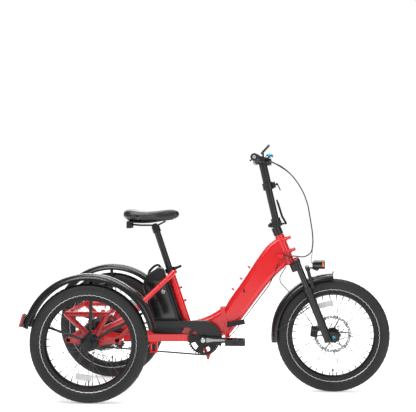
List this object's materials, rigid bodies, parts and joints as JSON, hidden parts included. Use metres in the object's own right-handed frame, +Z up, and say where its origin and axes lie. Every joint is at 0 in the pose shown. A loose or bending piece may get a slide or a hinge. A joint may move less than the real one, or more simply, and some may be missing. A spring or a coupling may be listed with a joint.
{
  "type": "folding adult tricycle",
  "caption": "Pedal-assisted adult tricycle with one front wheel and two rear wheels, folding step-through frame, telescopic handlebar post and removable battery.",
  "frame": {"origin": "middle of the bounding box, on the floor", "axes": "+X forward towards the front wheel, +Y to the rider's left, +Z up"},
  "size_m": [1.6774, 0.786, 1.1632],
  "materials": {
    "frame_red": "gloss red paint",
    "black_paint": "satin black paint",
    "black_alloy": "black anodised",
    "steel": "bright steel",
    "tyre_rubber": "matt",
    "rubber": "matt",
    "black_plastic": "matt moulded",
    "gloss_plastic": "gloss",
    "red_lens": "clear red",
    "saddle_skin": "semi-gloss synthetic leather"
  },
  "bodies": {
    "rear_frame": {"rear_frame": "frame_red", "axle_carrier": "frame_red", "axle_bearings": "steel", "motor_housing": "black_paint", "battery_dock": "black_plastic", "seat_collar": "black_alloy", "chain": "steel", "chain_guard": "black_plastic", "rear_caliper": "black_alloy", "rear_mudguards": "gloss_plastic", "mudguard_stays": "black_paint", "tail_lights": "red_lens"},
    "battery_pack": {"battery": "black_plastic"},
    "seat_lever": {"seat_collar_lever": "black_alloy"},
    "saddle": {"seat_post": "black_paint", "saddle_rails": "steel", "saddle_frame": "black_plastic", "saddle_cover": "saddle_skin"},
    "crank": {"crank_arms": "black_alloy", "chainring": "black_alloy"},
    "right_pedal": {"pedal_right": "black_plastic"},
    "left_pedal": {"pedal_left": "black_plastic"},
    "drive_shaft": {"rear_sprocket": "steel", "rear_brake_disc": "steel"},
    "idler": {"tension_wheel": "black_plastic"},
    "rear_right_wheel": {"rear_right_tyre": "tyre_rubber", "rear_right_rim": "black_alloy", "rear_right_spokes": "steel", "rear_right_hub": "black_alloy"},
    "rear_left_wheel": {"rear_left_tyre": "tyre_rubber", "rear_left_rim": "black_alloy", "rear_left_spokes": "steel", "rear_left_hub": "black_alloy"},
    "front_half": {"front_frame": "frame_red", "headset_bearings": "steel", "cables_lower": "rubber"},
    "frame_latch": {"frame_latch_lever": "black_alloy"},
    "steering": {"fork_crown": "black_paint", "stem_base": "black_paint"},
    "fork_legs": {"fork_lowers": "black_paint", "front_caliper": "black_alloy", "front_mudguard": "gloss_plastic", "headlight": "gloss_plastic"},
    "front_wheel": {"front_tyre": "tyre_rubber", "front_rim": "black_alloy", "front_spokes": "steel", "front_hub": "black_alloy", "front_brake_disc": "steel"},
    "lower_post": {"handlepost": "black_paint", "cables_middle": "rubber"},
    "stem_latch": {"stem_latch_lever": "black_alloy"},
    "bar_assembly": {"upper_post": "black_paint", "handlebar": "black_paint", "grips": "rubber", "bar_controls": "black_plastic", "display": "gloss_plastic", "cables_upper": "rubber"},
    "post_clamp": {"post_clamp_lever": "black_alloy"},
    "right_lever": {"brake_lever_right": "black_alloy"},
    "left_lever": {"brake_lever_left": "black_alloy"}
  },
  "joints": [
    {"name": "main_fold", "type": "hinge", "parent": "rear_frame", "child": "front_half", "pos_m": [0.0647, 0.044, 0.332], "axis": [0, 0, -1], "range_deg": [-110, 0]},
    {"name": "frame_latch", "type": "hinge", "parent": "front_half", "child": "frame_latch", "pos_m": [0.08458, -0.0472, 0.322], "axis": [0, 0, -1], "range_deg": [0, 100]},
    {"name": "steering", "type": "hinge", "parent": "front_half", "child": "steering", "pos_m": [0.34492, 0, 0.6721], "axis": [-0.3746, 0, 0.9272], "range_deg": [-45, 45], "deforming": ["cables_lower"]},
    {"name": "fork_suspension", "type": "slide", "parent": "steering", "child": "fork_legs", "axis": [-0.3746, 0, 0.9272], "range_m": [0, 0.045], "stiffness_N_per_m": 12000, "springref_m": -0.02},
    {"name": "front_wheel_spin", "type": "hinge", "parent": "fork_legs", "child": "front_wheel", "pos_m": [0.5727, 0, 0.266], "axis": [0, 1, 0], "continuous": true},
    {"name": "stem_fold", "type": "hinge", "parent": "steering", "child": "lower_post", "pos_m": [0.27555, 0, 0.78158], "axis": [0, 1, 0], "range_deg": [-125, 0], "deforming": ["cables_middle"]},
    {"name": "stem_latch", "type": "hinge", "parent": "steering", "child": "stem_latch", "pos_m": [0.34975, 0, 0.79358], "axis": [0, 1, 0], "range_deg": [0, 95]},
    {"name": "post_height", "type": "slide", "parent": "lower_post", "child": "bar_assembly", "axis": [-0.225, 0, 0.9744], "range_m": [-0.045, 0.04], "deforming": ["cables_upper"]},
    {"name": "post_clamp", "type": "hinge", "parent": "bar_assembly", "child": "post_clamp", "pos_m": [0.30843, 0, 0.97698], "axis": [0, -1, 0], "range_deg": [0, 100]},
    {"name": "right_lever", "type": "hinge", "parent": "bar_assembly", "child": "right_lever", "pos_m": [0.26376, -0.182, 1.08366], "axis": [0, 0, -1], "range_deg": [0, 14], "stiffness_Nm_per_rad": 1.5},
    {"name": "left_lever", "type": "hinge", "parent": "bar_assembly", "child": "left_lever", "pos_m": [0.26376, 0.182, 1.08366], "axis": [0, 0, 1], "range_deg": [0, 14], "stiffness_Nm_per_rad": 1.5},
    {"name": "seat_height", "type": "slide", "parent": "rear_frame", "child": "saddle", "axis": [-0.319, 0, 0.9478], "range_m": [-0.13, 0.04]},
    {"name": "seat_lever", "type": "hinge", "parent": "rear_frame", "child": "seat_lever", "pos_m": [-0.17291, -0.017, 0.57893], "axis": [0.319, 0, -0.9478], "range_deg": [0, 100]},
    {"name": "battery_slide", "type": "slide", "parent": "rear_frame", "child": "battery_pack", "axis": [-0.319, 0, 0.9478], "range_m": [0, 0.12]},
    {"name": "crank_spin", "type": "hinge", "parent": "rear_frame", "child": "crank", "pos_m": [-0.0353, 0, 0.248], "axis": [0, 1, 0], "continuous": true},
    {"name": "right_pedal", "type": "hinge", "parent": "crank", "child": "right_pedal", "pos_m": [0.1167, -0.15, 0.248], "axis": [0, 1, 0], "continuous": true},
    {"name": "left_pedal", "type": "hinge", "parent": "crank", "child": "left_pedal", "pos_m": [-0.1873, 0.15, 0.248], "axis": [0, 1, 0], "continuous": true},
    {"name": "drive_spin", "type": "hinge", "parent": "rear_frame", "child": "drive_shaft", "pos_m": [-0.5273, 0, 0.266], "axis": [0, 1, 0], "continuous": true},
    {"name": "idler_spin", "type": "hinge", "parent": "rear_frame", "child": "idler", "pos_m": [-0.4303, -0.05, 0.225], "axis": [0, 1, 0], "continuous": true},
    {"name": "rear_right_spin", "type": "hinge", "parent": "rear_frame", "child": "rear_right_wheel", "pos_m": [-0.5273, -0.35, 0.266], "axis": [0, 1, 0], "continuous": true},
    {"name": "rear_left_spin", "type": "hinge", "parent": "rear_frame", "child": "rear_left_wheel", "pos_m": [-0.5273, 0.35, 0.266], "axis": [0, 1, 0], "continuous": true}
  ],
  "couplings": [
    {"joint": "drive_spin", "follows": "crank_spin", "ratio": 1.2857},
    {"joint": "idler_spin", "follows": "crank_spin", "ratio": 3.2727}
  ]
}
